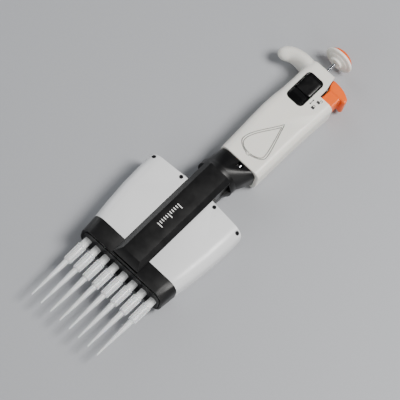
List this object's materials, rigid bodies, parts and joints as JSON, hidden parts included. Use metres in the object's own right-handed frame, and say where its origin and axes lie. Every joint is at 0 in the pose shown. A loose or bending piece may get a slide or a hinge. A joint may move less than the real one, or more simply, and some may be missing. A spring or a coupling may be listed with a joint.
{
  "type": "multichannel pipette",
  "caption": "Hand-held multichannel air-displacement pipette: hooked handle with plunger, volume dial, lock and tip ejector, and a swivelling lower unit with a row of tips.",
  "frame": {"origin": "middle of the length and width, at the level of the surface the pipette lies on", "axes": "+X along the row of tips, +Y towards the plunger button, +Z away from the surface it lies on, out of the front with the window"},
  "size_m": [0.0886, 0.3024, 0.0296],
  "materials": {
    "handle_plastic": "warm white moulded ABS, fine satin",
    "cover_plastic": "light neutral grey-white moulded plastic",
    "black_plastic": "satin black moulded plastic",
    "black_gloss": "gloss black",
    "window_lens": "smoked clear window",
    "orange_plastic": "orange moulded plastic",
    "button_white": "white moulded plastic",
    "chrome_stem": "polished steel",
    "machined_steel": "turned stainless steel",
    "spring_steel": "drawn spring wire",
    "screw_steel": "blackened steel",
    "dark_plastic": "dark grey engineering plastic",
    "block_plastic": "grey engineering plastic",
    "bush_plastic": "acetal",
    "drum_plastic": "white plastic",
    "nozzle_plastic": "white plastic",
    "tip_plastic": "translucent natural polypropylene"
  },
  "bodies": {
    "handle": {"handle_front": "handle_plastic", "handle_back": "handle_plastic", "handle_screws": "screw_steel", "window_bezel": "black_gloss", "counter_window": "window_lens", "counter_frame": "dark_plastic", "stem_bush": "bush_plastic", "stop_housing": "dark_plastic", "neck_adapter": "black_plastic", "retaining_clip": "spring_steel", "blowout_spring": "spring_steel", "plunger_spring": "spring_steel", "ejector_spring": "spring_steel"},
    "lock": {"lock_slide": "black_gloss"},
    "plunger": {"plunger_rod": "machined_steel", "spring_washer": "machined_steel"},
    "dial": {"stem": "chrome_stem", "thumb_button": "button_white", "button_cap": "orange_plastic"},
    "volume_setting": {"volume_sleeve": "machined_steel"},
    "units_drum": {"drum_units": "drum_plastic"},
    "tens_drum": {"drum_tens": "drum_plastic"},
    "hundreds_drum": {"drum_hundreds": "drum_plastic"},
    "ejector": {"ejector_button": "orange_plastic", "ejector_rod": "machined_steel"},
    "module": {"swivel_ring": "black_plastic", "column_front": "black_plastic", "column_back": "black_plastic", "base_housing": "black_plastic", "left_cover_front": "cover_plastic", "left_cover_back": "cover_plastic", "right_cover_front": "cover_plastic", "right_cover_back": "cover_plastic", "cover_screws": "screw_steel", "cylinder_block": "block_plastic", "piston_seals": "dark_plastic", "guide_pins": "machined_steel", "return_springs": "spring_steel", "nozzle_1": "nozzle_plastic", "nozzle_2": "nozzle_plastic", "nozzle_3": "nozzle_plastic", "nozzle_4": "nozzle_plastic", "nozzle_5": "nozzle_plastic", "nozzle_6": "nozzle_plastic", "nozzle_7": "nozzle_plastic", "nozzle_8": "nozzle_plastic"},
    "carriage": {"piston_bar": "dark_plastic", "drive_rod": "machined_steel", "pistons": "chrome_stem"},
    "tip_pusher": {"ejector_collar": "dark_plastic", "ejector_bar": "black_plastic"},
    "tips": {"tip_1": "tip_plastic", "tip_2": "tip_plastic", "tip_3": "tip_plastic", "tip_4": "tip_plastic", "tip_5": "tip_plastic", "tip_6": "tip_plastic", "tip_7": "tip_plastic", "tip_8": "tip_plastic"}
  },
  "joints": [
    {"name": "lock_slide_joint", "type": "slide", "parent": "handle", "child": "lock", "axis": [0, 1, 0], "range_m": [0, 0.004]},
    {"name": "plunger_press", "type": "slide", "parent": "handle", "child": "plunger", "axis": [0, -1, 0], "range_m": [0, 0.012], "stiffness_N_per_m": 150, "springref_m": -0.004, "deforming": ["plunger_spring", "blowout_spring"]},
    {"name": "volume_dial", "type": "hinge", "parent": "plunger", "child": "dial", "pos_m": [0, 0.14035, 0.013], "axis": [0, 1, 0], "range_deg": [-3240, 3240]},
    {"name": "volume_setting_turn", "type": "hinge", "parent": "handle", "child": "volume_setting", "pos_m": [0, 0.10025, 0.013], "axis": [0, 1, 0], "range_deg": [-3240, 3240]},
    {"name": "units_drum_turn", "type": "hinge", "parent": "handle", "child": "units_drum", "pos_m": [0, 0.10025, 0.013], "axis": [0, 1, 0], "range_deg": [-3240, 3240]},
    {"name": "tens_drum_turn", "type": "hinge", "parent": "handle", "child": "tens_drum", "pos_m": [0, 0.10025, 0.013], "axis": [0, 1, 0], "range_deg": [-324, 324]},
    {"name": "hundreds_drum_turn", "type": "hinge", "parent": "handle", "child": "hundreds_drum", "pos_m": [0, 0.10025, 0.013], "axis": [0, 1, 0], "range_deg": [-32.4, 32.4]},
    {"name": "ejector_press", "type": "slide", "parent": "handle", "child": "ejector", "axis": [0, -1, 0], "range_m": [0, 0.0085], "stiffness_N_per_m": 200, "springref_m": -0.004, "deforming": ["ejector_spring"]},
    {"name": "module_swivel", "type": "hinge", "parent": "handle", "child": "module", "pos_m": [0, 0.0118, 0.013], "axis": [0, 1, 0], "continuous": true},
    {"name": "carriage_slide", "type": "slide", "parent": "module", "child": "carriage", "axis": [0, -1, 0], "range_m": [0, 0.012], "deforming": ["return_springs"]},
    {"name": "pusher_slide", "type": "slide", "parent": "module", "child": "tip_pusher", "axis": [0, -1, 0], "range_m": [0, 0.0085]},
    {"name": "tips_loosen", "type": "slide", "parent": "module", "child": "tips", "axis": [0, -1, 0], "range_m": [0, 0.00275]}
  ],
  "couplings": [
    {"joint": "volume_setting_turn", "follows": "volume_dial", "ratio": 1},
    {"joint": "units_drum_turn", "follows": "volume_dial", "ratio": 1},
    {"joint": "tens_drum_turn", "follows": "volume_dial", "ratio": 0.1},
    {"joint": "hundreds_drum_turn", "follows": "volume_dial", "ratio": 0.01},
    {"joint": "carriage_slide", "follows": "plunger_press", "ratio": 1},
    {"joint": "pusher_slide", "follows": "ejector_press", "ratio": 1},
    {"joint": "tips_loosen", "follows": "ejector_press", "ratio": 0.31177}
  ]
}
